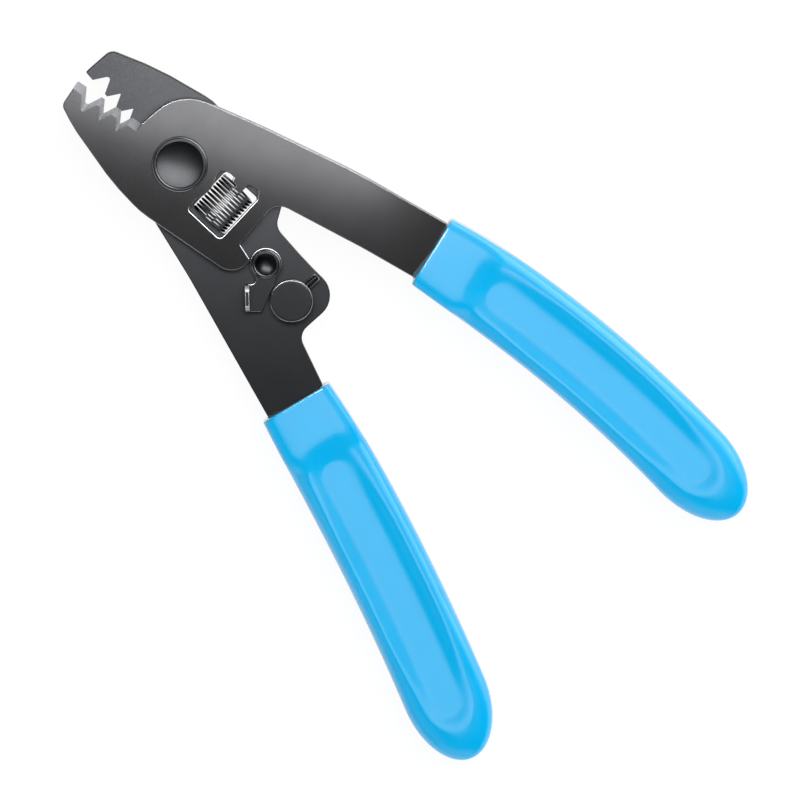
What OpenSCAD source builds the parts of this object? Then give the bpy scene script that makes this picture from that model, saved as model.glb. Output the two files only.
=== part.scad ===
// Three-hole fibre stripper: two lapped steel plates on one dished rivet, a
// compression spring in their windows, a storage latch, an adjustable stop and
// two vinyl sleeves. The origin is the flat rear end of the pivot rivet, +Y
// runs from the pivot to the jaws and +Z to the front of the tool. The front
// plate is drawn closed on the rear one and then opened about the pivot.

/* [Plates] */
// Thickness of each plate
plate_t = 3; // [2.4:0.1:3.6]
// Running gap between the two plates
plate_gap = 0.05; // [0.02:0.01:0.1]
// Angle that the front plate opens through
open_angle = 15; // [12:0.5:18]
// Width of the arms where they enter the sleeves
arm_w = 13.3; // [12.5:0.1:13.9]

/* [Jaws] */
// How far each jaw reaches past the centre line when closed
jaw_overlap = 2.35; // [1.8:0.05:3]
// Reach of the jaws from the pivot
jaw_reach = 27.4; // [25:0.1:30]
// Length of the jaws, from tip to heel
jaw_len = 16; // [15.6:0.1:16.4]
// Distance from the jaws' tip to the middle notch
notch_back = 8.25; // [7.8:0.05:8.6]
// Distance from notch to notch
notch_pitch = 4.1; // [3.9:0.05:4.4]
// Bore of the jacket notch when closed
jacket_hole_d = 1.1; // [0.9:0.1:1.4]
// Bore of the buffer notch when closed
buffer_hole_d = 0.25; // [0.25:0.05:0.4]
// Bore of the coating notch when closed
coating_hole_d = 0.14; // [0.12:0.01:0.2]
// Angle between the two sides of a notch
notch_angle = 58; // [50:1:64]
// Angle that the cutting edges are ground back at
grind_angle = 30; // [20:1:36]

/* [Pivot] */
// Diameter of the pivot rivet's shank
shank_d = 6.5; // [5:0.1:7]
// Radial running clearance of every turning fit
run_clear = 0.05; // [0.02:0.01:0.1]
// Diameter of the pivot rivet's dished head
head_d = 11.7; // [10.5:0.1:12.5]
// Height of the pivot rivet's head
head_h = 1.7; // [1.3:0.1:2]
// Depth of the dish in the head
dish_depth = 0.9; // [0.5:0.1:1]
// Diameter of the washer behind the rear plate
washer_d = 11; // [10:0.5:13]
// Thickness of that washer
washer_t = 0.8; // [0.5:0.1:1.2]
// Height of the closed end of the rivet behind the washer
tail_h = 0.7; // [0.5:0.1:1]

/* [Spring] */
// Outer diameter of the return spring
spring_d = 8; // [7.4:0.1:8.2]
// Diameter of its wire
wire_d = 0.65; // [0.5:0.05:0.65]
// Length of the spring with the handles open
spring_len = 9.45; // [9.2:0.05:9.6]
// Number of its turns
spring_turns = 9; // [7:0.5:9]
// Distance from the pivot to the spring's axis
spring_r = 12.75; // [12.5:0.05:13]

/* [Latch] */
// Distance from the pivot to the latch rivet
latch_r = 27.7; // [27.6:0.1:28]
// Thickness of the latch lever
latch_t = 1.4; // [1:0.1:1.6]
// Radius of the lever's round head
latch_head_r = 3.4; // [3.2:0.05:3.4]
// Reach of the lever's foot from its rivet
latch_reach = 10; // [9.4:0.1:10.1]
// Diameter of the latch rivet's shank
latch_shank_d = 3; // [2.6:0.1:3.4]
// Diameter of the latch rivet's dished head
latch_rivet_d = 6.1; // [5.6:0.1:6.4]
// Height of its head
latch_rivet_h = 1.2; // [1.1:0.1:1.5]
// Thickness of the spring washer under the lever
latch_washer_t = 0.4; // [0.3:0.05:0.5]
// Height of the finger tab above the lever
tab_h = 2.6; // [2:0.1:3]
// Thickness of the finger tab
tab_t = 0.9; // [0.7:0.1:1.1]

/* [Stop] */
// Diameter of the stop boss
boss_d = 9.1; // [8.6:0.1:9.2]
// Height of the boss above the rear plate
boss_h = 3; // [2.8:0.1:3.4]
// Diameter of the tenon that holds the boss in the rear plate
tenon_d = 4.5; // [3.5:0.1:5]
// Diameter of the stop screw
stop_screw_d = 1.9; // [1.6:0.1:2]
// Depth of the stop screw in the boss
stop_screw_depth = 3.6; // [3:0.1:4]

/* [Sleeves] */
// Length of the front sleeve
front_grip_len = 85.3; // [80:0.2:88]
// Length of the rear sleeve
rear_grip_len = 84.1; // [80:0.2:88]
// Full width of each sleeve
grip_w = 18.1; // [17.6:0.1:18.8]
// Full thickness of each sleeve
grip_t = 11.2; // [10.4:0.1:12]
// Width of a sleeve at its mouth
mouth_w = 16.2; // [15.6:0.1:16.8]
// Thickness of a sleeve at its mouth
mouth_t = 8.6; // [8:0.1:9.2]
// Thickness left between the two oval recesses
floor_t = 7.8; // [7.2:0.1:8.2]
// Angle that the front sleeve bends through over its length
front_bend = 17.9; // [12:0.1:20]
// Angle that the rear sleeve bends through over its length
rear_bend = 9.8; // [6:0.2:14]
// Length of the plate's tang inside a sleeve
tang_len = 66; // [58:1:70]
// Gap round the tang
tang_clear = 0.06; // [0.04:0.01:0.1]

/* [Hidden] */
over = 1;
arc_step = 12;
seat_gap = 0.03;

// Levels, from the rivet's rear end to its head
rear_z = tail_h + washer_t;
lap_z = rear_z + plate_t;
front_z = lap_z + plate_gap;
front_top_z = front_z + plate_t;
rear_mid_z = rear_z + plate_t / 2;
front_mid_z = front_z + plate_t / 2;
mid_z = lap_z + plate_gap / 2;
bore_d = shank_d + 2 * run_clear;

// Where each sleeve's mouth is centred, and the arm's heading from -Y there
rear_mouth = [-14.7, -53.8];
rear_heading = 10.05;
front_mouth = [14.3, -53.9];
front_heading = -2.2;

// The jaws' heel, and their notches: how far each is from the pivot, and the
// bore that a pair makes
jaw_heel = jaw_reach - jaw_len;
notch_y = jaw_reach - notch_back;
notches = [
    [notch_y + notch_pitch, jacket_hole_d],
    [notch_y, buffer_hole_d],
    [notch_y - notch_pitch, coating_hole_d]
];

// The spring lies square to the radius at its middle
spring_at = -84.1;
spring_mid = spring_r * [cos(spring_at), sin(spring_at)];
coil_r = (spring_d - wire_d) / 2;
tongue_w = 3;
tongue_off = 0.8;
nib_len = 1.5;
nib_w = 1.9;
window_slack = 0.35;

// The latch rivet, and the lever's heading at rest
latch_at = -90.5;
latch_pos = latch_r * [cos(latch_at), sin(latch_at)];
latch_heading = 214.5;
latch_z = lap_z + latch_washer_t + seat_gap;
latch_bore_d = latch_shank_d + 2 * run_clear;
foot_w = 3.2;
latch_tail_h = 0.5;

// The stop boss, and the heading of its screw, which meets the closed arm
boss_pos = [-1.26, -37];
stop_heading = 2;
arm_edge_r = 0.6;

function polar(r, a) = r * [cos(a), sin(a)];
function unit(v) = v / norm(v);
function turn(p, a) = [p.x * cos(a) - p.y * sin(a), p.x * sin(a) + p.y * cos(a)];
function heading(a) = [-sin(a), -cos(a)];
function flat2(p) = [p.x, p.y];

// Points of one rounded corner: b is the corner between a and c, r its radius
function corner(a, b, c, r) =
    let (
        u = unit(a - b), v = unit(c - b),
        half = acos(max(-1, min(1, u * v))) / 2,
        reach = r / tan(half),
        start = b + u * reach, end = b + v * reach,
        mid = b + unit(u + v) * r / sin(half),
        a0 = atan2(start.y - mid.y, start.x - mid.x),
        a1 = atan2(end.y - mid.y, end.x - mid.x),
        sweep = (a1 - a0) % 360,
        da = sweep > 180 ? sweep - 360 : sweep < -180 ? sweep + 360 : sweep,
        n = max(1, ceil(abs(da) / arc_step))
    )
    r == 0 ? [b] : [for (i = [0:n]) mid + polar(r, a0 + da * i / n)];

// An outline of corners [x, y, radius] as plain points
function rounded(q) = [
    for (i = [0:len(q) - 1])
        each corner(
            flat2(q[(i + len(q) - 1) % len(q)]), flat2(q[i]),
            flat2(q[(i + 1) % len(q)]), q[i].z
        )
];

// The four corners of the tang inside a sleeve, or of a pocket that is wider
// by slack and starts further back
function tang(mouth, head, bend, slack = 0, back = 0) =
    let (
        along = heading(head + bend * 0.4), across = [along.y, -along.x],
        arm = heading(head), side = [arm.y, -arm.x] * (tang_root_w + slack) / 2,
        root = mouth - along * back, tip = mouth + along * (tang_len + slack),
        half_tip = across * (tang_tip_w + slack) / 2
    )
    [root - side, tip - half_tip, tip + half_tip, root + side];

tang_root_w = arm_w - 1.6;
tang_tip_w = arm_w - 4;

module sheet(z, t) {
    translate([0, 0, z]) linear_extrude(t) children();
}

module hole(pos, d, z, t) {
    translate([pos.x, pos.y, z - over]) cylinder(d = d, h = t + 2 * over, $fn = 48);
}

// ---- Jaws -------------------------------------------------------------

// What the grinding takes off the front jaw, with the lap plane at z = 0
module jaw_cut() {
    depth = plate_t + over;
    back = depth * tan(grind_angle);
    front_over = over * tan(grind_angle);
    translate([0, jaw_reach + 4, 0]) rotate([90, 0, 0])
        linear_extrude(jaw_reach + 4 - jaw_heel)
            polygon([
                [jaw_overlap + front_over, -over], [jaw_overlap + 6, -over],
                [jaw_overlap + 6, depth], [jaw_overlap - back, depth]
            ]);
    for (n = notches)
        translate([0, n[0], 0]) rotate([0, -grind_angle, 0])
            translate([0, 0, -2 * over])
                linear_extrude(plate_t / cos(grind_angle) + 6 * over)
                    polygon([for (p = notch(n[1])) [p.x * cos(grind_angle), p.y]]);
}

// A notch: half a bore on the centre line, opening out to the jaw's edge
function notch(d) =
    let (
        half = notch_angle / 2, r = d / 2,
        out = jaw_overlap + 3, rise = r / cos(half) + out * tan(half)
    )
    [
        [out, -rise],
        for (a = [-90 - half:-(180 - 2 * half) / 8:-270 + half]) polar(r, a),
        [out, rise]
    ];

// ---- Plates -----------------------------------------------------------

rear_arm = heading(rear_heading);
rear_side = [rear_arm.y, -rear_arm.x];
rear_out = rear_mouth + rear_side * arm_w / 2;
rear_in = rear_mouth - rear_side * arm_w / 2;
front_arm = heading(front_heading);
front_side = [front_arm.y, -front_arm.x];
front_in = front_mouth + front_side * arm_w / 2;
front_out = front_mouth - front_side * arm_w / 2;

rear_tang = tang(rear_mouth, rear_heading, rear_bend);
front_tang = tang(front_mouth, front_heading, front_bend);

// Corners of the rear plate, from the jaw's tip clockwise
rear_outline = [
    [-jaw_overlap, jaw_reach, 0.3], [4.6, jaw_reach, 2.3], [9.45, jaw_reach - 9.5, 40],
    [13.8, 5.2, 12], [13.6, -18.5, 5], [6.2, -23.4, 3.2], [6.25, -33, 60],
    [7, -43.3, 5], [-5, -43.5, 3.2],
    [rear_in.x, rear_in.y, 0.5],
    [rear_tang[0].x, rear_tang[0].y, 0], [rear_tang[1].x, rear_tang[1].y, 2],
    [rear_tang[2].x, rear_tang[2].y, 2], [rear_tang[3].x, rear_tang[3].y, 0],
    [rear_out.x, rear_out.y, 0.5],
    [-14.35, -19.2, 60], [-9.6, 9.4, 4.5], [-jaw_overlap, jaw_heel, 0.8]
];

// Corners of the front plate as it lies when closed, from the tip outwards
catch_tip = [-8.35, -23.4];
catch_root = [-6.9, -19.9];
arm_crotch = [4.6, -21.1];
arm_bend = [6.75, -41.5];
front_outline = [
    [jaw_overlap, jaw_reach, 0.3], [-3.6, jaw_reach, 1.6], [-6.1, jaw_reach - 4.5, 20],
    [-11.1, 9.75, 30], [-13, 1.5, 20], [-13.3, catch_tip.y, 4.4],
    [catch_tip.x, catch_tip.y, 0.4], [catch_root.x, catch_root.y, 0.3],
    [arm_crotch.x, arm_crotch.y, 3.6], [arm_bend.x, arm_bend.y, 60],
    [front_in.x, front_in.y, 0.5],
    [front_tang[3].x, front_tang[3].y, 0], [front_tang[2].x, front_tang[2].y, 2],
    [front_tang[1].x, front_tang[1].y, 2], [front_tang[0].x, front_tang[0].y, 0],
    [front_out.x, front_out.y, 0.5],
    [19.35, -32, 80], [16.15, -9.5, 60], [12.8, 8.8, 10], [jaw_overlap, jaw_heel, 0.8]
];

half_spring = spring_len / 2;
window_top = spring_d / 2 + 0.6;
window_foot = -spring_d / 2 - window_slack;
tongue_lo = tongue_off - tongue_w / 2;
tongue_hi = tongue_off + tongue_w / 2;
nib_hi = tongue_lo + nib_w;

// The front window, along and across the spring: its upper side curves round
// the pivot, and its tongue, on the right, carries the spring
window_arc = 8.25;
front_window = [
    [-half_spring - 1.05, window_foot + 0.2, 0.9],
    [half_spring + 0.9, window_foot + 0.2, 0.8], [half_spring + 2.6, -2.9, 0.6],
    [half_spring + 2.1, tongue_lo, 0.4], [half_spring, tongue_lo, 0],
    [half_spring - nib_len, tongue_lo, 0.3], [half_spring - nib_len, nib_hi, 0.3],
    [half_spring, nib_hi, 0], [half_spring, tongue_hi, 0.3],
    [half_spring + 1.3, tongue_hi + 0.4, 0.4], [half_spring + 0.4, 5.6, 0.7],
    [3.3, 5.3, 0.3],
    for (a = [16:-8:-24]) [window_arc * sin(a), spring_r - window_arc * cos(a), 0],
    [-half_spring - 1.05, 4.9, 0.7]
];

// The rear window, whose left end carries the spring
rear_window = [
    [-half_spring, window_foot, 0.6], [half_spring + 1, window_foot, 0.9],
    [half_spring + 0.8, window_top, 0.9], [-half_spring, window_top, 0.6],
    [-half_spring, nib_hi, 0], [-half_spring + nib_len, nib_hi, 0.3],
    [-half_spring + nib_len, tongue_lo, 0.3], [-half_spring, tongue_lo, 0]
];

module at_spring() {
    translate([spring_mid.x, spring_mid.y, 0]) rotate(spring_at + 90) children();
}

module rear_plate() {
    color([0.29, 0.3, 0.32]) difference() {
        sheet(rear_z, plate_t) polygon(rounded(rear_outline));
        translate([0, 0, lap_z]) rotate([0, 180, 0]) jaw_cut();
        translate([0, 0, rear_z - over]) linear_extrude(plate_t + 2 * over)
            at_spring() polygon(rounded(rear_window));
        hole([0, 0], bore_d, rear_z, plate_t);
        hole(latch_pos, latch_bore_d, rear_z, plate_t);
        hole(boss_pos, tenon_d + 2 * run_clear, rear_z, plate_t);
    }
}

module front_plate() {
    color([0.42, 0.43, 0.45]) difference() {
        rotate(open_angle) difference() {
            sheet(front_z, plate_t) polygon(rounded(front_outline));
            translate([0, 0, front_z]) jaw_cut();
        }
        translate([0, 0, front_z - over]) linear_extrude(plate_t + 2 * over)
            at_spring() polygon(rounded(front_window));
        hole([0, 0], bore_d, front_z, plate_t);
    }
}

// ---- Pivot ------------------------------------------------------------

// Half of a dished head: a rounded rim round a shallow bowl
function dished(d, h, depth) =
    let (
        rim = d * 0.075, bowl = d / 2 - 1.15 * rim,
        sphere_r = (bowl * bowl + depth * depth) / (2 * depth)
    )
    [
        [0, 0], [d / 2 - 0.3, 0], [d / 2, 0.3],
        for (a = [0:22.5:112.5]) [d / 2 - rim + rim * cos(a), h - rim + rim * sin(a)],
        for (a = [1:-0.2:0])
            let (x = bowl * a * 0.97) [x, h - depth + sphere_r - sqrt(sphere_r * sphere_r - x * x)]
    ];

module pivot_rivet() {
    color([0.36, 0.37, 0.39]) union() {
        translate([0, 0, front_top_z + seat_gap])
            rotate_extrude($fn = 72) polygon(dished(head_d, head_h, dish_depth));
        translate([0, 0, tail_h / 2])
            cylinder(d = shank_d, h = front_top_z + seat_gap + 0.2 - tail_h / 2, $fn = 64);
        rotate_extrude($fn = 64) polygon([
            [0, 0], [shank_d / 2 + 0.3, 0], [shank_d / 2 + 0.8, 0.35],
            [shank_d / 2 + 0.8, tail_h], [0, tail_h]
        ]);
    }
}

module pivot_washer() {
    color([0.5, 0.51, 0.53]) difference() {
        translate([0, 0, tail_h]) cylinder(d = washer_d, h = washer_t, $fn = 64);
        hole([0, 0], bore_d, tail_h, washer_t);
    }
}

// ---- Return spring ----------------------------------------------------

coil_sides = 6;
coil_steps = 16;
coil_rings = spring_turns * coil_steps;
coil_rise = spring_len - wire_d - 0.04;

// One ring of the wire, at step i along the helix
function coil_ring(i) =
    let (a = 360 * i / coil_steps, x = coil_rise * (i / coil_rings - 0.5))
    [
        for (j = [0:coil_sides - 1])
            let (b = 360 * j / coil_sides, r = coil_r + wire_d / 2 * cos(b))
            [x + wire_d / 2 * sin(b), r * cos(a), r * sin(a)]
    ];

// Faces of a tube of m rings of n points, with flat ends
function tube_faces(m, n) = concat(
    [[for (j = [0:n - 1]) j]],
    [
        for (i = [0:m - 2], j = [0:n - 1])
            let (k = (j + 1) % n)
            each [[i * n + j, (i + 1) * n + j, (i + 1) * n + k], [i * n + j, (i + 1) * n + k, i * n + k]]
    ],
    [[for (j = [n - 1:-1:0]) (m - 1) * n + j]]
);

module return_spring() {
    color([0.75, 0.76, 0.78])
        translate([spring_mid.x, spring_mid.y, mid_z]) rotate(spring_at + 90)
            polyhedron(
                [for (i = [0:coil_rings]) each coil_ring(i)],
                tube_faces(coil_rings + 1, coil_sides)
            );
}

// ---- Latch ------------------------------------------------------------

// The lever along its heading: waist, foot and the edge that carries the tab
lever_outline = [
    [0.6, 3.2, 0], [latch_reach, foot_w / 2, 0.4],
    [latch_reach + 0.8, -foot_w / 2, 0.3], [5.2, -foot_w, 0.5],
    [4.5, -0.3, 1], [2.4, -2.3, 0.6], [0, 0, 0]
];
tab_from = [latch_reach + 0.6, -foot_w / 2 - 0.08];
tab_to = [5.5, -foot_w + 0.06];

module at_latch(z) {
    translate([latch_pos.x, latch_pos.y, z]) children();
}

module latch_lever() {
    run = tab_to - tab_from;
    color([0.26, 0.27, 0.29]) at_latch(latch_z) difference() {
        rotate(latch_heading) union() {
            linear_extrude(latch_t) union() {
                circle(r = latch_head_r, $fn = 48);
                polygon(rounded(lever_outline));
            }
            translate([tab_from.x, tab_from.y, 0]) rotate(atan2(run.y, run.x))
                rotate([90, 0, 0]) linear_extrude(tab_t) polygon(rounded([
                    [0, 0, 0], [norm(run), 0, 0],
                    [norm(run), latch_t + tab_h, 1.2], [0, latch_t + tab_h, 1.2]
                ]));
        }
        hole([0, 0], latch_bore_d, 0, latch_t);
    }
}

module latch_rivet() {
    head_z = latch_t + seat_gap;
    tail = latch_z - rear_z;
    color([0.36, 0.37, 0.39]) at_latch(latch_z) union() {
        translate([0, 0, head_z])
            rotate_extrude($fn = 48) polygon(dished(latch_rivet_d, latch_rivet_h, 0.55));
        translate([0, 0, -tail - latch_tail_h / 2])
            cylinder(d = latch_shank_d, h = tail + latch_tail_h / 2 + head_z + 0.1, $fn = 48);
        translate([0, 0, -tail - latch_tail_h]) rotate_extrude($fn = 48) polygon([
            [0, 0], [latch_shank_d / 2 + 0.3, 0], [latch_shank_d / 2 + 0.7, 0.25],
            [latch_shank_d / 2 + 0.7, latch_tail_h], [0, latch_tail_h]
        ]);
    }
}

module latch_washer() {
    color([0.5, 0.51, 0.53]) difference() {
        at_latch(lap_z) cylinder(r = latch_head_r - 0.4, h = latch_washer_t, $fn = 48);
        hole(latch_pos, latch_bore_d, lap_z, latch_washer_t);
    }
}

// ---- Stop -------------------------------------------------------------

// Where the stop screw's axis meets the edge of the arm when it is closed
stop_dir = polar(1, stop_heading);
edge_dir = unit(arm_bend - arm_crotch);
edge_side = [edge_dir.y, -edge_dir.x];
stop_reach = ((arm_bend - boss_pos) * edge_side) / (stop_dir * edge_side) - 0.1;
stop_z = lap_z + boss_h / 2;
stop_bore_d = stop_screw_d + 2 * run_clear;

module along_stop(from) {
    translate([boss_pos.x, boss_pos.y, stop_z]) rotate(stop_heading)
        rotate([0, 90, 0]) translate([0, 0, from]) children();
}

module stop_boss() {
    color([0.24, 0.25, 0.26]) difference() {
        translate([boss_pos.x, boss_pos.y, rear_z]) union() {
            cylinder(d = tenon_d, h = plate_t + over, $fn = 48);
            translate([0, 0, plate_t]) rotate_extrude($fn = 72) polygon([
                [0, 0], [boss_d / 2, 0], [boss_d / 2, boss_h - 0.4],
                [boss_d / 2 - 0.4, boss_h], [0, boss_h]
            ]);
        }
        along_stop(boss_d / 2 - stop_screw_depth)
            cylinder(d = stop_bore_d, h = stop_screw_depth + over, $fn = 32);
    }
}

module stop_screw() {
    from = boss_d / 2 - stop_screw_depth + 0.05;
    color([0.36, 0.37, 0.39]) along_stop(from) rotate_extrude($fn = 32) polygon([
        [0, 0], [stop_screw_d / 2, 0], [stop_screw_d / 2, stop_reach - from - 0.3],
        [stop_screw_d / 2 - 0.3, stop_reach - from], [0, stop_reach - from]
    ]);
}

// ---- Sleeves ----------------------------------------------------------

function ease(a, b, x) = let (t = max(0, min(1, (x - a) / (b - a)))) t * t * (3 - 2 * t);
function lerp(a, b, t) = a + (b - a) * t;
function power(c, e) = sign(c) * pow(abs(c), e);

end_len = 15;
recess_from = 10.5;
recess_w = 9.4;
grip_angles = [0, 14, 30, 45, 56, 63, 70, 80];
grip_sides = 4 * len(grip_angles);

// Distances from the mouth at which a sleeve's section is drawn
function stations(len) =
    let (from = len - end_len)
    [
        0, 0.35, 1, 4, 8, recess_from, 12, 13.5, 15, 18,
        for (i = [1:6]) 18 + (from - 20) * i / 6,
        for (i = [0:3]) from + i * 2,
        for (t = [0.52, 0.64, 0.74, 0.83, 0.9, 0.95, 0.98, 0.995]) from + t * end_len
    ];

// How far the section has shrunk: 1 along the sleeve, 0 at its round end
function closing(s, len) =
    let (t = max(0, s - len + end_len) / end_len) sqrt(1 - t * t);
function lip(s) = s < 1 ? 0.35 * (1 - s) : 0;
function width_at(s, len) =
    (lerp(grip_w, mouth_w, exp(-s / 12)) - 2 * lip(s)) * closing(s, len);
function thick_at(s, len) =
    (lerp(mouth_t, grip_t, ease(7, 18, s)) - 2 * lip(s)) * pow(closing(s, len), 0.9);

// How deep the recess is, from 0 to 1, at s along and x across the sleeve
function recess_at(s, x, len) =
    let (
        lo = recess_from + recess_w / 2, hi = len - 8 - recess_w / 2,
        d = norm([x, max(0, lo - s, s - hi)])
    )
    1 - ease(recess_w / 2 - 1, recess_w / 2 + 0.4, d);

// Angles round a quarter of the section, closer together by the recess
function quarter(q) =
    let (n = len(grip_angles))
    q % 2 == 0 ? grip_angles : [for (i = [0:n - 1]) i == 0 ? 0 : 90 - grip_angles[n - i]];

// One ring of the sleeve, curved round with its recesses, at s from the mouth
function grip_ring(s, len, bend) =
    let (
        r = len / (bend * PI / 180), a = bend * s / len,
        axis = r * [cos(a) - 1, -sin(a)], across = [cos(a), -sin(a)],
        w = width_at(s, len) / 2, t = thick_at(s, len) / 2
    )
    [
        for (q = [0:3], g = quarter(q))
            let (
                x = w * power(cos(90 * q + g), 0.625), z = t * power(sin(90 * q + g), 0.625),
                dip = max(0, abs(z) - floor_t / 2) * recess_at(s, x, len)
            )
            [axis.x + across.x * x, axis.y + across.y * x, z - sign(z) * dip]
    ];

module sleeve(len, bend) {
    rings = [for (s = stations(len)) grip_ring(s, len, bend)];
    m = len(rings);
    polyhedron([for (r = rings) each r], tube_faces(m, grip_sides), convexity = 6);
}

// A sleeve at an arm's end, less the pocket that the arm's tang fills
module grip(mouth, head, len, bend, plate_z) {
    slack = 2 * tang_clear;
    color([0.25, 0.68, 0.95]) difference() {
        translate([mouth.x, mouth.y, plate_z + plate_t / 2]) rotate(-head) sleeve(len, bend);
        translate([0, 0, plate_z - tang_clear]) linear_extrude(plate_t + slack)
            polygon(tang(mouth, head, bend, slack, over));
    }
}

module rear_grip() {
    grip(rear_mouth, rear_heading, rear_grip_len, rear_bend, rear_z);
}

module front_grip() {
    rotate(open_angle)
        grip(front_mouth, front_heading, front_grip_len, front_bend, front_z);
}

rear_plate();
front_plate();
rear_grip();
front_grip();
pivot_rivet();
pivot_washer();
return_spring();
latch_lever();
latch_rivet();
latch_washer();
stop_boss();
stop_screw();
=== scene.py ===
# %% [markdown]
# # Three-hole fibre stripper
# Two lapped steel plates turn on one dished rivet. A return spring sits in
# their windows, a storage latch and a stop stand on the rear plate, and each
# arm ends in a soft vinyl sleeve. The solids are already at their real size,
# in metres, with +Y towards the jaws and +Z towards the front. This notebook
# gives them their finish: it keeps the solids that are right, and puts finer
# surfaces in place of those that are coarse.

import bmesh
import bpy
import numpy as np
from mathutils import Matrix, Vector


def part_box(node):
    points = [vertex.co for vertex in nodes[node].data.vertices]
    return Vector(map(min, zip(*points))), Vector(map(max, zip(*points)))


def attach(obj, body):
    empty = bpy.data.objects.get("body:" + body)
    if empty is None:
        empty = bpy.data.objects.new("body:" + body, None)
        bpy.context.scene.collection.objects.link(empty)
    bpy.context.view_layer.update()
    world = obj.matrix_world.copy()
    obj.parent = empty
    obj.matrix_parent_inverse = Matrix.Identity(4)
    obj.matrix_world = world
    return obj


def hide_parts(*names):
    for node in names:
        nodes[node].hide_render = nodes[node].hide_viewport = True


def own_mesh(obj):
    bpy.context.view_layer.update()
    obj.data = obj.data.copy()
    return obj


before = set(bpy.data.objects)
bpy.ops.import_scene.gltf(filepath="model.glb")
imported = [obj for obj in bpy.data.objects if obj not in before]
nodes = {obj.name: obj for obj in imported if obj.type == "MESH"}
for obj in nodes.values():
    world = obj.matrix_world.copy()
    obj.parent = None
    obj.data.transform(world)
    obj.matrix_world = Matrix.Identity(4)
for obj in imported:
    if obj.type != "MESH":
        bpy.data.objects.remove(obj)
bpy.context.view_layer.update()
SCENE = bpy.context.scene
MM = 0.001
print("solids:", ", ".join(sorted(nodes)))

# %% [markdown]
# ## Camera
# A small tool is shown best from far away with a long lens, because its
# edges then stay parallel. The camera looks almost straight down and leans
# five degrees towards the top of the picture, and the picture is turned so
# that the jaws are at its upper left. A camera close by would be simpler to
# place, but it would make the sleeves look swollen.

# %% Camera
PICTURE_RIGHT = Vector((0.7547, -0.6561, 0))
PICTURE_UP = Vector((0.6561, 0.7547, 0))
CAMERA_TILT = np.radians(5.0)
CAMERA_DISTANCE = 3.0
PICTURE_SIDE = 0.168
SENSOR_WIDTH = 36
VIEW_CENTRE = Vector((0.00209, -0.06788, 0.0045))


def add_camera():
    """A camera whose picture is PICTURE_SIDE wide at the tool.

    Lens over sensor width is distance over that width.
    """
    out = Vector((0, 0, 1)) * np.cos(CAMERA_TILT) + PICTURE_UP * np.sin(CAMERA_TILT)
    up = out.cross(PICTURE_RIGHT)
    data = bpy.data.cameras.new("camera")
    data.sensor_width = SENSOR_WIDTH
    data.lens = SENSOR_WIDTH * CAMERA_DISTANCE / PICTURE_SIDE
    data.clip_start = 0.05
    data.clip_end = 20
    camera = bpy.data.objects.new("camera", data)
    turn = Matrix((PICTURE_RIGHT, up, out)).transposed().to_4x4()
    place = VIEW_CENTRE + out * CAMERA_DISTANCE
    camera.matrix_world = Matrix.Translation(place) @ turn
    SCENE.collection.objects.link(camera)
    SCENE.camera = camera
    print("lens:", round(data.lens), "mm")


add_camera()

# %% [markdown]
# ## Surfaces from grids
# Most of the fine pieces are one closed skin. Their points are worked out as
# a grid of rows and columns: a row is one ring round the piece, and the next
# row is the next ring along it. A first and a last row that shrink to a point
# close the ends. This is exact, it needs no modelling by hand, and a change
# of one size moves every point with it.

# %% Grid helper


def skin(name, grid):
    """A closed mesh from rings of points, rows x columns x 3, in metres.

    Point (i, j) joins (i, j + 1), (i + 1, j + 1) and (i + 1, j) in one face,
    and the last column joins the first.
    """
    rows, columns = grid.shape[:2]
    here = np.arange(rows * columns).reshape(rows, columns)
    beside = np.roll(here, -1, axis=1)
    faces = np.stack([here[:-1], beside[:-1], beside[1:], here[1:]], axis=-1)
    mesh = bpy.data.meshes.new(name)
    mesh.from_pydata(grid.reshape(-1, 3), [], faces.reshape(-1, 4).tolist())
    bm = bmesh.new()
    bm.from_mesh(mesh)
    bmesh.ops.remove_doubles(bm, verts=bm.verts, dist=1e-7)
    bmesh.ops.recalc_face_normals(bm, faces=bm.faces)
    bm.to_mesh(mesh)
    bm.free()
    obj = bpy.data.objects.new(name, mesh)
    SCENE.collection.objects.link(obj)
    obj.data.shade_smooth()
    print(name, len(mesh.polygons), "faces")
    return obj


def ease(a, b, x):
    """0 below a, 1 above b, and a smooth S between: t squared times 3 - 2t."""
    t = np.clip((x - a) / (b - a), 0, 1)
    return t * t * (3 - 2 * t)


# %% Tie a piece to its body


def finish_piece(piece, material, body, node, worn=None):
    """Paint a new piece, tie it to its body and let it stand for its solid.

    worn gives two limits. A face takes the bare steel when the size of its
    normal's height lies between them: a side wall has 0 and a flat top has 1.
    On rims and shoulders that is a rubbed edge; on the stop screw's sides and
    tip it is a painted highlight.
    """
    mesh = piece.data
    mesh.materials.clear()
    mesh.materials.append(material)
    if worn:
        mesh.materials.append(WORN_AND_HIGHLIGHT_STEEL)
        normals = np.empty(len(mesh.polygons) * 3)
        mesh.polygons.foreach_get("normal", normals)
        steep = np.abs(normals.reshape(-1, 3)[:, 2])
        edges = (steep > worn[0]) & (steep < worn[1])
        mesh.polygons.foreach_set("material_index", edges.astype(np.int32))
    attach(piece, body)
    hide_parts(node)
    return piece


# %% [markdown]
# ## Finishes
# A finish could be painted on an unwrapped piece, but a small node tree is
# sharp at any distance and needs no unwrapping. All of them are patterns on
# Object coordinates, which keeps each pattern at its real scale on every
# piece. The class below only shortens the calls that add and link nodes.

# %% Node helpers


def srgb(r, g, b):
    """A colour given in 0..255 as linear RGBA: the sRGB curve undone."""
    c = np.array([r, g, b]) / 255
    return (*np.where(c <= 0.04045, c / 12.92, ((c + 0.055) / 1.055) ** 2.4), 1)


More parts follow.
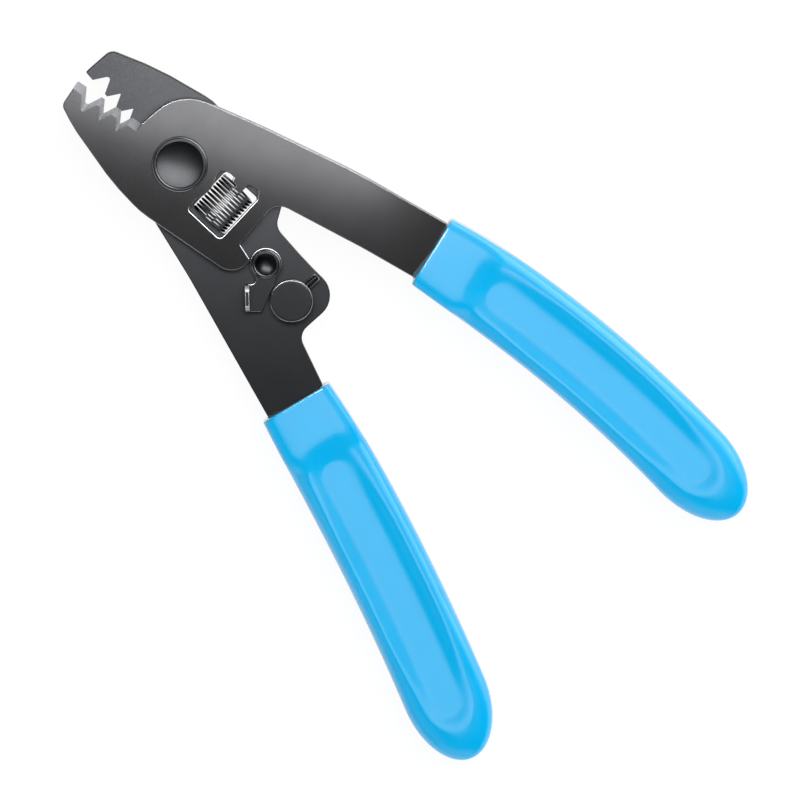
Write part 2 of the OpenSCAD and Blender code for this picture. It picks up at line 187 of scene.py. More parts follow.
class Tree:
    """A material's node tree, with short calls to add and link its nodes."""

    def __init__(self, name):
        self.material = bpy.data.materials.new(name)
        self.material.use_nodes = True
        self.nodes = self.material.node_tree.nodes
        self.links = self.material.node_tree.links
        self.shader = self.nodes["Principled BSDF"]

    @classmethod
    def of(cls, tree):
        """The same calls on a tree that is there already, such as the world's."""
        self = cls.__new__(cls)
        self.nodes, self.links = tree.nodes, tree.links
        return self

    def add(self, kind, inputs=None, **settings):
        """A new node: a socket given as an input is linked, a value is set."""
        node = self.nodes.new(kind)
        for key, value in settings.items():
            setattr(node, key, value)
        for key, value in (inputs or {}).items():
            if isinstance(value, bpy.types.NodeSocket):
                self.links.new(value, node.inputs[key])
            else:
                node.inputs[key].default_value = value
        return node

    def set(self, **values):
        """Set the shader's inputs: words name them, with _ for a space."""
        for key, value in values.items():
            socket = self.shader.inputs[key.replace("_", " ")]
            if isinstance(value, bpy.types.NodeSocket):
                self.links.new(value, socket)
            else:
                socket.default_value = value

    def noise(self, scale, detail=2.0, stretch=(1, 1, 1)):
        """Noise on Object coordinates, 0..1, stretched by dividing an axis."""
        place = self.add("ShaderNodeTexCoord").outputs["Object"]
        scaled = self.add("ShaderNodeMapping", {"Vector": place, "Scale": stretch})
        pattern = {"Vector": scaled.outputs[0], "Scale": scale, "Detail": detail}
        return self.add("ShaderNodeTexNoise", pattern).outputs["Fac"]

    def spread(self, value, low, high):
        """A value in 0.3..0.7, where noise mostly lies, moved to low..high."""
        limits = {"Value": value, 1: 0.3, 2: 0.7, 3: low, 4: high}
        return self.add("ShaderNodeMapRange", limits).outputs[0]

    def blend(self, fac, dark, light):
        """A colour between dark, where fac is 0, and light, where it is 1."""
        ramp = self.add("ShaderNodeMix", data_type="RGBA")
        self.links.new(fac, ramp.inputs["Factor"])
        ramp.inputs[6].default_value = dark
        ramp.inputs[7].default_value = light
        return ramp.outputs[2]

    def bump(self, height, distance):
        """Let a pattern stand up from the surface by a distance in metres."""
        values = {"Height": height, "Distance": distance, "Strength": 1.0}
        self.set(Normal=self.add("ShaderNodeBump", values).outputs[0])


# %% [markdown]
# The plates are steel with a dark oxide finish: a metal with a dark base
# colour that is never quite even, fine grain from tumbling and a soft gloss.
# A flat dark colour would do from far away, but close by it looks like
# plastic, so the colour, the gloss and the grain each get their own noise.
# The grain stands up by less than a micrometre, and on the small fittings by
# less still, because more of it shows as speckles. The rear plate is duller
# than the front one. The boss, the screw and the lever are a little lighter
# than the rivets. Rubbed edges and the spring are the same metal with less
# oxide, and the same bare metal on the stop screw's sides and tip is a
# painted highlight.

# %% Oxide steel
CLOUD_SCALE = 160
GRAIN_SCALE = 2400


def oxide_steel(name, dark, light, roughness, uneven=0.03, grain_height=8e-7):
    """Dark oxide on tumbled steel: cloudy colour, uneven gloss, fine grain."""
    t = Tree(name)
    clouds = t.noise(CLOUD_SCALE, detail=3)
    grain = t.noise(GRAIN_SCALE, detail=2)
    t.set(Metallic=1.0, Base_Color=t.blend(clouds, dark, light))
    t.set(Roughness=t.spread(grain, roughness - uneven, roughness + uneven))
    t.bump(grain, grain_height)
    print(name, "roughness", roughness)
    return t.material


FINE = {"uneven": 0.008, "grain_height": 1e-7}
RUBBED = {"uneven": 0.02, "grain_height": 1e-7}

FRONT_STEEL = oxide_steel("front_steel", srgb(41, 41, 42), srgb(47, 47, 48), 0.2)
REAR_STEEL = oxide_steel("rear_steel", srgb(46, 47, 49), srgb(53, 54, 56), 0.42)
FITTING_STEEL = oxide_steel(
    "fitting_steel", srgb(49, 50, 51), srgb(55, 56, 57), 0.26, **FINE
)
RIVET_STEEL = oxide_steel(
    "rivet_steel", srgb(40, 41, 42), srgb(46, 47, 48), 0.28, **FINE
)
# This bare steel is rubbed wear on rims and shoulders, and a painted highlight on
# the stop screw's sides and tip.
WORN_AND_HIGHLIGHT_STEEL = oxide_steel(
    "worn_and_highlight_steel", srgb(146, 148, 152), srgb(168, 170, 174), 0.25, **RUBBED
)
SPRING_STEEL = oxide_steel(
    "spring_steel", srgb(104, 106, 110), srgb(124, 126, 130), 0.14
)

# %% [markdown]
# The jaws are ground after the oxide, so their facets are brighter and carry
# fine grinding lines. A pure mirror would show the dark jaw across the gap
# and turn black, so the facets are half metal and half matt. The lines are
# one noise, stretched along the grinding.

# %% Ground steel
LINE_SCALE = 1500
LINE_STRETCH = (1, 4, 0.3)


def ground_steel(name, dark, light):
    """Ground steel: fine scratches down the facet, a little bright."""
    t = Tree(name)
    lines = t.noise(LINE_SCALE, detail=1, stretch=LINE_STRETCH)
    t.set(Metallic=0.5, Base_Color=t.blend(lines, dark, light))
    t.set(Roughness=t.spread(lines, 0.45, 0.6))
    t.bump(lines, 4e-6)
    print(name, "half metal")
    return t.material


GROUND_STEEL = ground_steel(
    "ground_steel", srgb(160, 162, 166), srgb(182, 184, 188)
)

# %% [markdown]
# The sleeves are dipped vinyl: one even colour, a slightly cloudy body and a
# clear gloss like a coat of varnish. The cloudiness is only a little colour
# and the gloss is a coat over a softer base, because that gives the sharp
# edge of a reflected light together with the soft fall of shade below it.

# %% Vinyl finish
VINYL_DARK = srgb(0, 181, 243)
VINYL_LIGHT = srgb(0, 187, 249)


def dipped_vinyl():
    """Light blue vinyl: cloudy colour, a faint orange peel and a clear coat."""
    t = Tree("vinyl")
    clouds = t.noise(90, detail=2)
    peel = t.noise(420, detail=1)
    t.set(Base_Color=t.blend(clouds, VINYL_DARK, VINYL_LIGHT))
    t.set(Roughness=t.spread(peel, 0.2, 0.26))
    t.set(Coat_Weight=1.0, Coat_Roughness=0.1)
    t.bump(peel, 1.2e-5)
    print("vinyl with a clear coat")
    return t.material


VINYL = dipped_vinyl()

# %% [markdown]
# ## Sleeves
# A sleeve is dipped over the plate's tang, so it is one skin with a rounded
# section and a round end. Its axis is an arc of a circle. On both faces it
# has a flat land for the thumb, then a soft step down into a long recess
# whose rim fades into the rounded sides. Sculpting would give this too, but
# a formula keeps both sleeves alike and their crests clean in the gloss.

# %% Sleeve sizes, in mm
GRIP_W = 18.1
MOUTH_W = 16.2
MOUTH_FLARE = 12
LAND_T = 9.6
NECK_T = 9.0
BODY_T = 10.4
BULB_T = 8.4
STEP_START = 9
STEP_END = 14.5
BODY_START = 32
BULB_LEN = 22
END_LEN = 15
LIP_R = 0.5
LIP_SHARE = 0.8
TANG_LEN = 66.12
TANG_W = (11.82, 9.42)
TANG_T = 3.12
print("sleeve", GRIP_W, "mm wide and", BODY_T, "mm thick")

# %% Rows along a sleeve


def sleeve_rows(length):
    """Distances from the mouth: dense at the lip, the step and the round end."""
    lip = LIP_R * (1 - np.cos(np.linspace(0, np.pi / 2, 7)))
    mouth = np.arange(1, 24, 0.3)
    body = np.arange(24, length - BULB_LEN, 0.9)
    bulb = np.arange(length - BULB_LEN, length - END_LEN, 0.4)
    end = length - END_LEN + END_LEN * np.sin(np.linspace(0, np.pi / 2, 60))
    return np.concatenate([lip, mouth, body, bulb, end])


def closing(s, length):
    """How much of the section is left: 1 along the sleeve, 0 at its end.

    It is the height of a quarter ellipse over the last END_LEN.
    """
    t = np.clip((s - length + END_LEN) / END_LEN, 0, 1)
    return np.sqrt(np.maximum(0, 1 - t * t))


# %% [markdown]
# The recess is what makes the sleeve easy to hold, and it is what the light
# shows most. It could be cut out of the sleeve as a second shape, but the
# cut would leave a hard edge. Here the recess is a second height over the
# sleeve's middle, and the sleeve takes the lower of the two with a small
# round where they cross, as a dipped skin does.

# %% Recess
PANEL_START = 18.0
PANEL_END = 13.6
FLOOR_Z_HALF = 3.5
DISH_FLOOR = 2.3
DISH_REACH = 6.2
DISH_RISE = 0.9
DISH_POWER = 1.9
CREST_BLEND = 0.7


def dish(s, x, length):
    """Height of the recess over the sleeve's middle plane, at s along and x across.

    The recess is a stadium, and d is the distance to its centre line. Its
    floor is flat up to d = start, and from there it rises by H t^p, where
    t = (d - start) / (reach - start). The four DISH values hold beside the
    floor. On the side of the mouth the slope is longer and higher, and at
    the far end it is short.
    """
    lo, hi = PANEL_START, length - PANEL_END
    d = np.hypot(x, np.maximum(0, lo - s) + np.maximum(0, s - hi))
    mouth = np.maximum(0, lo - s) / np.maximum(d, 1e-6)
    far = (np.maximum(0, s - hi) / np.maximum(d, 1e-6)) ** 2
    wide = (1 - ease(15, 27, s)) * ease(0, 4, x)
    start = DISH_FLOOR + 1.0 * mouth + 0.8 * far
    reach = DISH_REACH + 1.4 * mouth - 0.7 * far + 0.8 * wide
    rise = DISH_RISE + 0.4 * mouth - 0.35 * far
    power = DISH_POWER - 0.6 * mouth - 0.5 * far
    t = np.maximum(0, d - start) / (reach - start)
    return FLOOR_Z_HALF + rise * t**power


def lower_of(a, b, blend):
    """The lower of two heights, rounded over a height of blend where they meet."""
    gap = np.clip(0.5 + (b - a) / (2 * blend), 0, 1)
    return b + (a - b) * gap - blend * gap * (1 - gap)


# %% Section of a sleeve


def section(s, angle, length):
    """Half section at s: a superellipse, cut down to the dish where it is lower.

    x = w sign(cos) |cos|^(2/n) and z = t sign(sin) |sin|^(2/n), where n falls
    from 6 at the square mouth to 2.8 along the body and 2.3 at the end. The
    thickness falls from the land to the neck, rises to the body and falls
    again between 32 and 12 mm before the end.
    """
    shut = closing(s, length)
    lip = np.clip(1 - s / LIP_R, 0, 1)
    inset = LIP_R * (1 - np.sqrt(1 - lip * lip)) * LIP_SHARE
    flare = (MOUTH_W - GRIP_W) * np.exp(-s / MOUTH_FLARE)
    w = ((GRIP_W + flare) / 2 - inset) * shut
    body = BODY_T + (BULB_T - BODY_T) * ease(length - 32, length - 12, s)
    neck = LAND_T + (NECK_T - LAND_T) * ease(STEP_START, STEP_END, s)
    thick = neck + (body - NECK_T) * ease(STEP_END, BODY_START, s)
    end = np.clip((s - length + END_LEN) / END_LEN, 0, 1)
    t = (thick / 2 - inset) * (1 - end**3) ** (1 / 3)
    rounder = 0.5 * ease(length - BULB_LEN, length - 6, s)
    power = 2 / (6 - 3.2 * ease(8.5, STEP_END, s) - rounder)
    x = w * np.sign(np.cos(angle)) * np.abs(np.cos(angle)) ** power
    z = t * np.abs(np.sin(angle)) ** power
    cut = lower_of(z, dish(s, x, length), CREST_BLEND)
    return x, np.minimum(z, np.maximum(0, cut)) * np.sign(np.sin(angle))


def pocket(s, angle, bend):
    """The rectangular hole for the tang, which runs straight into the sleeve.

    The root of two times cos and sin, held within -1 and 1, is a square. It
    is turned by 0.4 of the sleeve's bend, to lie along the sleeve's middle.
    """
    width = (TANG_W[0] + (TANG_W[1] - TANG_W[0]) * s / TANG_LEN) / 2
    x = width * np.clip(np.sqrt(2) * np.cos(angle), -1, 1)
    z = TANG_T / 2 * np.clip(np.sqrt(2) * np.sin(angle), -1, 1)
    a = np.radians(bend * 0.4)
    across = x * np.cos(a) - s * np.sin(a)
    along = -x * np.sin(a) - s * np.cos(a)
    return np.stack([across, along, z], -1)


# %% Sleeve surface
COLUMNS = 160
CROWDING = 0.12


def sleeve_grid(length, bend):
    """Rings of the sleeve in its own frame, in mm, mouth at 0 and running to -Y.

    Along the axis, an arc of length/bend radius: centre r (cos a - 1, -sin a),
    across (cos a, -sin a), where a is the angle reached at s. The columns are
    shifted by a small sine of four waves, which brings them a little closer
    together at the section's corners.
    """
    angle = (np.arange(COLUMNS) + 0.5) / COLUMNS * 2 * np.pi
    angle = angle + CROWDING * np.sin(4 * angle) / 4
    s, angle = np.meshgrid(sleeve_rows(length), angle, indexing="ij")
    x, z = section(s, angle, length)
    r = length / np.radians(bend)
    a = s / r
    across = r * (np.cos(a) - 1) + x * np.cos(a)
    along = -r * np.sin(a) - x * np.sin(a)
    outer = np.stack([across, along, z], -1)
    depths = [TANG_LEN, TANG_LEN * 0.5, 0.0]
    depth, round_it = np.meshgrid(depths, angle[0], indexing="ij")
    inner = pocket(depth, round_it, bend)
    bottom = np.broadcast_to(inner[:1].mean(axis=1, keepdims=True), inner[:1].shape)
    return np.concatenate([bottom, inner, outer])


def placed(grid, mouth, heading, level, turn=0):
    """Grid in mm turned by -heading, moved to the mouth, opened, and in metres."""

    def spin(points, degrees):
        c, s = np.cos(np.radians(degrees)), np.sin(np.radians(degrees))
        return points @ np.array([[c, s, 0], [-s, c, 0], [0, 0, 1]])

    moved = spin(grid, -heading) + np.array([*mouth, level])
    return spin(moved, turn) * MM


# %% [markdown]
# The two sleeves have the same section, but they bend by different angles
# and the front one is a little longer. The front one is placed as if the
# handles were closed and is then turned open, as its plate is. It could be
# placed open at once, but this way its numbers are the ones that its plate
# is drawn with.

# %% The two sleeves
OPEN_ANGLE = 15
FRONT_SHAPE = {"length": 85.3, "bend": 17.9}
FRONT_PLACE = {"mouth": (14.3, -53.9), "heading": -2.2, "level": 6.05}
REAR_SHAPE = {"length": 84.1, "bend": 9.8}
REAR_PLACE = {"mouth": (-14.7, -53.8), "heading": 10.05, "level": 3.0}

front_grid = placed(sleeve_grid(**FRONT_SHAPE), **FRONT_PLACE, turn=OPEN_ANGLE)
rear_grid = placed(sleeve_grid(**REAR_SHAPE), **REAR_PLACE)
front_sleeve = skin("front_sleeve", front_grid)
rear_sleeve = skin("rear_sleeve", rear_grid)
finish_piece(front_sleeve, VINYL, "front_handle", "front_grip")
finish_piece(rear_sleeve, VINYL, "rear_handle", "rear_grip")

# %% [markdown]
# ## Rivets, boss and screw
# These were all turned on a lathe, so each is a profile spun about an axis.
# The solids have nearly the same profiles with fewer steps, and a deeper dish
# in the pivot. The rivets' heads are dished by the punch that set them: a
# thin round rim with a smooth bowl in it. The rim and the shoulders are
# rubbed bright, and the rest keeps its oxide. The screw's sides and tip get
# the same bright steel as a painted highlight. Ready-made cylinders would be
# quicker, but the bowl has to be part of a true sphere for the light in it
# to be smooth.

# %% Lathe helper


def spun(name, profile, place, axis=(0, 0, 1), steps=128):
    """A profile of (radius, height) rows, in mm, spun about an axis at place."""
    r, h = np.array(profile, dtype=float).T
    angle = np.arange(steps) / steps * 2 * np.pi
    ring = np.stack([np.cos(angle), np.sin(angle)], -1)
    flat = r[:, None, None] * ring[None]
    heights = np.broadcast_to(h[:, None, None], (*flat.shape[:2], 1))
    grid = np.concatenate([flat, heights], -1)
    along = Vector(axis).normalized()
    turn = np.array(along.to_track_quat("Z", "X").to_matrix())
    return skin(name, (grid @ turn.T + np.array(place)) * MM)


def arc(centre, radius, start, end, count):
    """Points on an arc in the profile, angles in degrees."""
    a = np.radians(np.linspace(start, end, count))
    outward = centre[0] + radius * np.cos(a)
    return np.stack([outward, centre[1] + radius * np.sin(a)], -1)


def bowl(radius, level, depth, count=24):
    """The bowl of a dished head, from its edge to its middle: part of a sphere.

    The sphere's radius is (radius squared + depth squared) / (2 depth).
    """
    big = (radius**2 + depth**2) / (2 * depth)
    x = radius * np.linspace(1, 0, count)
    return np.stack([x, level - depth + big - np.sqrt(big**2 - x**2)], -1)


# %% Profile of a rivet
HEAD_CHAMFER = 0.15
BOWL_LIP = 0.3
BUTTON_ROUND = 0.3


def dished_head(radius, height, rim, depth):
    """Profile of a dished head: side, round rim and bowl."""
    side = [[0, 0], [radius - HEAD_CHAMFER, 0], [radius, HEAD_CHAMFER]]
    crest = arc((radius - rim, height - rim), rim, 0, 90, 10)
    inner = arc((radius - rim, height - BOWL_LIP), BOWL_LIP, 90, 150, 6)
    hollow = bowl(inner[-1][0], inner[-1][1], depth)
    return np.concatenate([side, crest, inner, hollow])


def closed_end(radius, height, level):
    """Profile of the end behind the plate: a low rounded button."""
    centre = (radius - BUTTON_ROUND, level - height + BUTTON_ROUND)
    corner = arc(centre, BUTTON_ROUND, -90, 0, 6)
    top = [[radius, level], [0, level]]
    return np.concatenate([[[0, level - height]], corner, top])


def rivet(head, head_z, shank_r, foot_z, foot):
    """One closed profile: button, shank and head, from the back to the front."""
    head = head + np.array([0, head_z])
    shank = [[shank_r, foot_z], [shank_r, head_z]]
    return np.concatenate([foot[:-1], shank, head[1:]])


# %% Pivot rivet and latch rivet
FRONT_TOP = 7.55
SEAT = 0.03
LATCH = (-0.2417, -27.6989)
LATCH_Z = 4.93
LEVER_T = 1.4
PIVOT_RUBBED = (0.1, 0.9)
LATCH_RUBBED = (0.1, 0.88)

pivot_profile = rivet(
    head=dished_head(radius=5.85, height=1.7, rim=0.62, depth=0.62),
    head_z=FRONT_TOP + SEAT,
    shank_r=3.25,
    foot_z=0.7,
    foot=closed_end(radius=4.05, height=0.7, level=0.7),
)
latch_profile = rivet(
    head=dished_head(radius=3.05, height=1.2, rim=0.45, depth=0.6),
    head_z=LATCH_Z + LEVER_T + SEAT,
    shank_r=1.5,
    foot_z=1.5,
    foot=closed_end(radius=2.2, height=0.5, level=1.5),
)
pivot = spun("pivot", pivot_profile, (0, 0, 0))
latch_pin = spun("latch_pin", latch_profile, (*LATCH, 0))
finish_piece(
    pivot, RIVET_STEEL, "rear_handle", "pivot_rivet", PIVOT_RUBBED
)
finish_piece(
    latch_pin, RIVET_STEEL, "rear_handle", "latch_rivet", LATCH_RUBBED
)

# %% Profiles of the boss and the screw
SCREW_R = 0.95
THREAD_DEPTH = 0.08
THREAD_PITCH = 0.4


def boss_profile():
    """Tenon, underside, side, a round shoulder and the flat top."""
    tenon = [[0, 1.5], [2.25, 1.5], [2.25, 4.5], [4.4, 4.5], [4.55, 4.65]]
    shoulder = arc((4.15, 7.1), 0.4, 0, 90, 8)
    return np.concatenate([tenon, shoulder, [[3.7, 7.5], [0, 7.5]]])


def screw_profile(length):
    """A pin with a shallow rounded thread and a chamfered tip.

    Radius: SCREW_R less a groove of THREAD_DEPTH that repeats at each pitch,
    as a cosine. The grooves are rings, which look the same as a thread here.
    """
    h = np.arange(0, length - 0.45, 0.05)
    groove = 0.5 + 0.5 * np.cos(2 * np.pi * h / THREAD_PITCH)
    r = SCREW_R - THREAD_DEPTH * groove
    tip = [[0.9, length - 0.3], [0.65, length], [0, length]]
    return np.concatenate([[[0, 0]], np.stack([r, h], -1), tip])


# %% Stop boss and stop screw
BOSS = (-1.26, -37.0)
STOP_HEADING = np.radians(2)
STOP_Z = 6.0
SCREW_START = 1.0
BOSS_RUBBED = (0.1, 0.99)
# The screw's sides and tip take the bare steel as a painted highlight along its
# outline.
SCREW_HIGHLIGHT_SIDES = (-1, 0.6)

screw_high = np.array(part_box("stop_screw")[1]) / MM
way = np.array([np.cos(STOP_HEADING), np.sin(STOP_HEADING), 0])
screw_from = np.array([*BOSS, STOP_Z]) + way * SCREW_START
screw_length = (screw_high[0] - screw_from[0]) / way[0]
boss = spun("boss", boss_profile(), (*BOSS, 0))
screw = spun("screw", screw_profile(screw_length), screw_from, axis=way, steps=64)
finish_piece(
    boss, FITTING_STEEL, "rear_handle", "stop_boss", BOSS_RUBBED
)
finish_piece(
    screw, FITTING_STEEL, "rear_handle", "stop_screw", SCREW_HIGHLIGHT_SIDES
)
print("screw length:", round(float(screw_length), 2), "mm")

# %% [markdown]
# ## Return spring
# A compression spring is a wire that follows a helix. The wire's centre turns
# about the spring's axis while it moves along it, and a small circle is drawn
# round each of its points. A Screw modifier on a circle would do the same,
# but a formula can also bring the turns closer at the two ends, as on the
# real spring. On the real tool the spring gets shorter when the handles
# close; here it is tied to the rear handle and keeps its length.

# %% Spring surface, in mm
SPRING_TURNS = 11
COIL_R = 3.95
WIRE_R = 0.29
SPRING_LEN = 9.45
END_GAP = 0.04
RINGS_PER_TURN = 48
WIRE_COLUMNS = 14


def spring_grid():
    """Rings of the wire: centre (x, R cos a, R sin a), and round it a circle.

    The circle lies in the plane of the radius and the spring's axis, which is
    square to the wire to within a degree or two. x rises with the angle: four
    fifths of it evenly and one fifth as a half wave of a cosine, so that the
    turns lie a little closer at the ends.
    """
    a, b = np.meshgrid(
        np.linspace(0, SPRING_TURNS, SPRING_TURNS * RINGS_PER_TURN + 1) * 2 * np.pi,
        np.arange(WIRE_COLUMNS) / WIRE_COLUMNS * 2 * np.pi,
        indexing="ij",
    )
    rise = SPRING_LEN - 2 * WIRE_R - END_GAP
    even = a / (2 * np.pi * SPRING_TURNS)
    wave = 0.5 - 0.5 * np.cos(np.pi * np.clip(even, 0, 1))
    x = rise * (0.8 * even + 0.2 * wave - 0.5) + WIRE_R * np.sin(b)
    r = COIL_R + WIRE_R * np.cos(b)
    grid = np.stack([x, r * np.cos(a), r * np.sin(a)], -1)
    tips = grid[[0, -1]].mean(axis=1, keepdims=True)
    first = np.broadcast_to(tips[:1], grid[:1].shape)
    last = np.broadcast_to(tips[1:], grid[:1].shape)
    return np.concatenate([first, grid, last])


# %% Spring in its window
SPRING_ANGLE = np.radians(5.9)
SPRING_MID = np.array([1.29, -12.46, 4.525])

c, s = np.cos(SPRING_ANGLE), np.sin(SPRING_ANGLE)
along_spring = np.array([[c, s, 0], [-s, c, 0], [0, 0, 1]])
spring = skin("spring", (spring_grid() @ along_spring + SPRING_MID) * MM)
finish_piece(spring, SPRING_STEEL, "rear_handle", "return_spring")
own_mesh(spring)

# %% [markdown]
# ## Plates and latch lever
# The plates' solids are exact, so their shape is kept and only their rims are
# broken. A stamped plate never has a knife edge at its face: the tumbling
# leaves a narrow round that catches the light as a bright line. The edges
# between a flat face and a square wall are picked by their faces' slopes and
# rounded in four strips. A Bevel modifier could do that with an angle limit,
# but it would also blunt the jaws' ground edges, which are the blades, and
# the lap side of the front plate, where the two blades meet.
#
# The front plate and the lever are handled most, so their rims are rubbed
# bare. The rear plate's rims keep the oxide. The big faces are shaded flat,
# because smoothing would tilt them a little towards their rims, and their
# mirror image would then break into streaks.

# %% Copy of a solid
FLAT = 0.999
SQUARE = 0.02
SAME_POINT = 2e-6
SAME_FACE = 0.5


def merged_copy(node, name):
    """A copy of a solid with its triangles joined back into flat faces."""
    mesh = nodes[node].data.copy()
    obj = bpy.data.objects.new(name, mesh)
    SCENE.collection.objects.link(obj)
    bm = bmesh.new()
    bm.from_mesh(mesh)
    bmesh.ops.remove_doubles(bm, verts=bm.verts, dist=SAME_POINT)
    bmesh.ops.dissolve_limit(
        bm, angle_limit=np.radians(SAME_FACE), verts=bm.verts, edges=bm.edges
    )
    return obj, bm


def rim_edges(bm, keep_level):
    """The edges between a flat face and a square wall, but for one level."""
    rims = []
    for edge in bm.edges:
        level = edge.verts[0].co.z
        if len(edge.link_faces) != 2 or abs(level - keep_level) < 1e-5:
            continue
        a, b = sorted(abs(face.normal.z) for face in edge.link_faces)
        if a < SQUARE and b > FLAT:
            rims.append(edge)
    return rims


# %% Rounded rims
RIM_STRIPS = 4
NEW_FACE = 3
BIG_FACE = 0.9999
RUBBED_ABOVE = 0.55
SHARP_ANGLE = 10.5


def broken_rims(node, body, material, width, keep_level=-1.0, worn=True):
    """The piece that stands for a plate: rims rounded, ground facets brighter.

    Slots: 0 is the plate's own finish, 1 the ground facets, 2 the rubbed
    strips. The three strips next to the flat face are rubbed bare, and the
    lowest one keeps the oxide. Which faces are flat is read before the sharp
    edges are set and written again after, because setting them loses it.
    """
    piece, bm = merged_copy(node, node + "_body")
    bm.normal_update()
    for face in bm.faces:
        face.material_index = 1 if SQUARE < abs(face.normal.z) < FLAT else 0
    ground = sum(face.material_index for face in bm.faces)
    rims = rim_edges(bm, keep_level)
    bmesh.ops.bevel(
        bm, geom=rims, offset=width * MM, offset_type="OFFSET", segments=RIM_STRIPS,
        profile=0.5, affect="EDGES", clamp_overlap=False, material=NEW_FACE,
    )
    bm.normal_update()
    for face in bm.faces:
        face.smooth = abs(face.normal.z) < BIG_FACE
        if face.material_index == NEW_FACE:
            rubbed = worn and abs(face.normal.z) > RUBBED_ABOVE
            face.material_index = 2 if rubbed else 0
    bm.to_mesh(piece.data)
    bm.free()
    index = np.zeros(len(piece.data.polygons), dtype=np.int32)
    piece.data.polygons.foreach_get("material_index", index)
    smooth = np.zeros(len(index), dtype=bool)
    piece.data.polygons.foreach_get("use_smooth", smooth)
    piece.data.set_sharp_from_angle(angle=np.radians(SHARP_ANGLE))
    finish_piece(piece, material, body, node)
    piece.data.materials.append(GROUND_STEEL)
    piece.data.materials.append(WORN_AND_HIGHLIGHT_STEEL)
    piece.data.polygons.foreach_set("material_index", index)
    piece.data.polygons.foreach_set("use_smooth", smooth)
    piece.data.update()
    print(piece.name, len(rims), "rim edges,", ground, "ground facets")
    return piece


# %% Plates and lever
FRONT_Z = 4.55 * MM
FRONT_RIM = 0.24
REAR_RIM = 0.2
LEVER_RIM = 0.18

broken_rims(
    "front_plate", "front_handle", FRONT_STEEL, FRONT_RIM, FRONT_Z
)
broken_rims(
    "rear_plate", "rear_handle", REAR_STEEL, REAR_RIM, worn=False
)
broken_rims("latch_lever", "latch", FITTING_STEEL, LEVER_RIM)

# %% [markdown]
# The washer behind the rear plate shows as a flat ring, and the one under
# the lever shows no more than its edge. Both could be spun as the rivets
# are, but their solids are flat rings already, so they are kept and only get
# a finish.

# %% Washers
for name in ("pivot_washer", "latch_washer"):
    nodes[name].data.materials.clear()
    nodes[name].data.materials.append(SPRING_STEEL)
    print(name, "keeps its solid")

# %% [markdown]
# ## Floor and light
# The tool lies on a plain floor in a dark studio. The floor glows white to
# the camera and in reflections, with a thin grey on top of it that takes the
# tool's soft shadow, and it is plain grey to all other light.
#
# Bright steel and gloss vinyl show their surroundings more than their own
# colour, so reflections and plain light are set apart. The world is dark,
# with four soft round glows and a pale band at the horizon, and it is what
# the metal and the gloss mirror. Three large lamps only fill the colours in,
# and are not seen in reflections. A small slanted bar close above the disc
# is seen only in reflections and makes the steel fall from light to dark. A
# few big soft boxes could do all of this at once, but each of them would
# then change the metal and the vinyl together.

# %% Floor
FLOOR_Z = -0.0026
FLOOR_SIDE = 6
FLOOR_GLOW = 0.93
FLOOR_SHADE = (0.09, 0.09, 0.09, 1)
FLOOR_GREY = (0.7, 0.7, 0.7, 1)
WHITE = (1, 1, 1, 1)


def add_floor():
    """White to the camera and to reflections, and soft grey to other light."""
    bpy.ops.mesh.primitive_plane_add(size=FLOOR_SIDE, location=(0, 0, FLOOR_Z))
    floor = bpy.context.object
    floor.name = "floor"
    t = Tree("floor")
    t.nodes.remove(t.shader)
    ray = t.add("ShaderNodeLightPath").outputs
    seen = {0: ray["Is Camera Ray"], 1: ray["Is Glossy Ray"]}
    seen = t.add("ShaderNodeMath", seen, operation="MAXIMUM").outputs[0]
    either = {0: seen, 1: ray["Is Transmission Ray"]}
    either = t.add("ShaderNodeMath", either, operation="MAXIMUM").outputs[0]
    white = t.add("ShaderNodeEmission", {"Color": WHITE, "Strength": FLOOR_GLOW})
    shade = t.add("ShaderNodeBsdfDiffuse", {"Color": FLOOR_SHADE})
    both = t.add("ShaderNodeAddShader", {0: white.outputs[0], 1: shade.outputs[0]})
    grey = t.add("ShaderNodeBsdfDiffuse", {"Color": FLOOR_GREY})
    choice = {"Fac": either, 1: grey.outputs[0], 2: both.outputs[0]}
    mix = t.add("ShaderNodeMixShader", choice)
    t.links.new(mix.outputs[0], t.nodes["Material Output"].inputs["Surface"])
    floor.data.materials.append(t.material)
    print("floor at", FLOOR_Z, "m")


add_floor()

# %% Glows of the studio


def toward(right, up, polar):
    """The unit direction that way in the picture, polar degrees from straight up."""
    a = np.radians(polar)
    flat = (PICTURE_RIGHT * right + PICTURE_UP * up).normalized()
    return flat * np.sin(a) + Vector((0, 0, np.cos(a)))


# Each glow has its direction, its inner and outer angle and its strength.
GLOWS = {
    "top": (toward(0.5, -0.866, 3.5), 5, 21, 1.0),
    "upper right": (toward(0.7, 0.71, 92), 8, 52, 2.2),
    "bottom": (toward(0.0, -1.0, 75), 5, 40, 0.7),
    "left": (toward(-0.8, -0.6, 68), 5, 42, 0.3),
}
DARK = 0.022
HORIZON = 0.4
HORIZON_FULL = 3
HORIZON_GONE = 14
print("glows:", ", ".join(GLOWS))

# %% Studio on the world


def plus(t, a, b):
    """The sum of two values of a node tree."""
    return t.add("ShaderNodeMath", {0: a, 1: b}, operation="ADD").outputs[0]


def smooth_rise(t, value, start, end, strength):
    """0 at start, strength at end, and a smooth S between them."""
    limits = {"Value": value, 1: start, 2: end, 3: 0, 4: strength}
    kind = "SMOOTHSTEP"
    return t.add("ShaderNodeMapRange", limits, interpolation_type=kind).outputs[0]


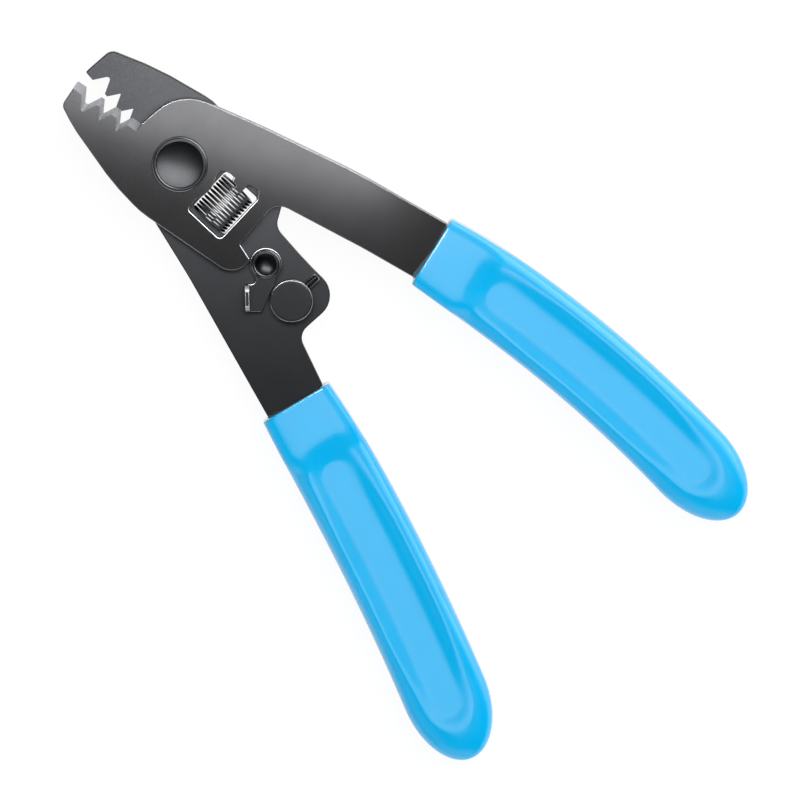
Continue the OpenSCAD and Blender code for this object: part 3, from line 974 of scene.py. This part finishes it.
def studio_world():
    """Radiance is a dark level plus soft round glows and a band at the horizon.

    A glow is full within its inner angle and gone at its outer angle, with a
    smooth step between, measured on the cosine to its middle. The band is
    full up to HORIZON_FULL degrees above the horizon and gone at
    HORIZON_GONE, measured on the height, which is the sine.
    """
    world = bpy.data.worlds.new("studio")
    SCENE.world = world
    world.use_nodes = True
    t = Tree.of(world.node_tree)
    way = t.add("ShaderNodeTexCoord").outputs["Generated"]
    total = DARK
    for direction, inner, outer, strength in GLOWS.values():
        pair = {0: way, 1: direction}
        near = t.add("ShaderNodeVectorMath", pair, operation="DOT_PRODUCT")
        gone, full = np.cos(np.radians(outer)), np.cos(np.radians(inner))
        glow = smooth_rise(t, near.outputs["Value"], gone, full, strength)
        total = plus(t, total, glow)
    height = t.add("ShaderNodeSeparateXYZ", {0: way}).outputs["Z"]
    gone, full = np.sin(np.radians(HORIZON_GONE)), np.sin(np.radians(HORIZON_FULL))
    band = smooth_rise(t, height, gone, full, HORIZON)
    t.links.new(plus(t, total, band), t.nodes["Background"].inputs["Strength"])
    t.nodes["Background"].inputs["Color"].default_value = WHITE


studio_world()

# %% Lamp helpers


def picture(right, up, height):
    """A place that far right, up and towards the camera from the view's centre."""
    flat = PICTURE_RIGHT * right + PICTURE_UP * up
    return VIEW_CENTRE + flat + Vector((0, 0, height))


def soft_box(name, place, aim, size, radiance, upright=PICTURE_UP):
    """A rectangular lamp of a given radiance: watts are pi times it times area."""
    data = bpy.data.lights.new(name, "AREA")
    data.shape = "RECTANGLE"
    data.size, data.size_y = size
    data.energy = np.pi * radiance * size[0] * size[1]
    light = bpy.data.objects.new(name, data)
    way = Vector(aim) - Vector(place)
    side = way.cross(upright).normalized()
    up = side.cross(way).normalized()
    turn = Matrix((side, up, -way.normalized())).transposed().to_4x4()
    light.matrix_world = Matrix.Translation(place) @ turn
    SCENE.collection.objects.link(light)
    light.visible_camera = False
    print(name, round(data.energy, 2), "W")
    return light


# %% Lamps
# Each fill has its place in the picture, its size and its radiance.
FILLS = {
    "fill": ((0.25, 0.4, 1.0), (1.2, 1.2), 2.7),
    "left_fill": ((-1.1, -0.5, 0.17), (1.4, 0.3), 3.8),
    "bottom_fill": ((0.35, -1.1, 0.17), (1.2, 0.3), 2.0),
}
for name, (place, size, radiance) in FILLS.items():
    lamp = soft_box(name, picture(*place), picture(0, 0, 0), size, radiance)
    lamp.visible_glossy = False

BAR_PLACE = (-0.0364, 0.067)
BAR_HEIGHT = 0.11
BAR_SIZE = (0.085, 0.044)
BAR_RADIANCE = 13
bar_slant = PICTURE_RIGHT * 0.28 + PICTURE_UP * 0.96
bar = soft_box(
    "close_bar", picture(*BAR_PLACE, BAR_HEIGHT), picture(*BAR_PLACE, 0),
    BAR_SIZE, BAR_RADIANCE, bar_slant,
)
bar.visible_diffuse = False
SCENE.view_settings.view_transform = "Standard"
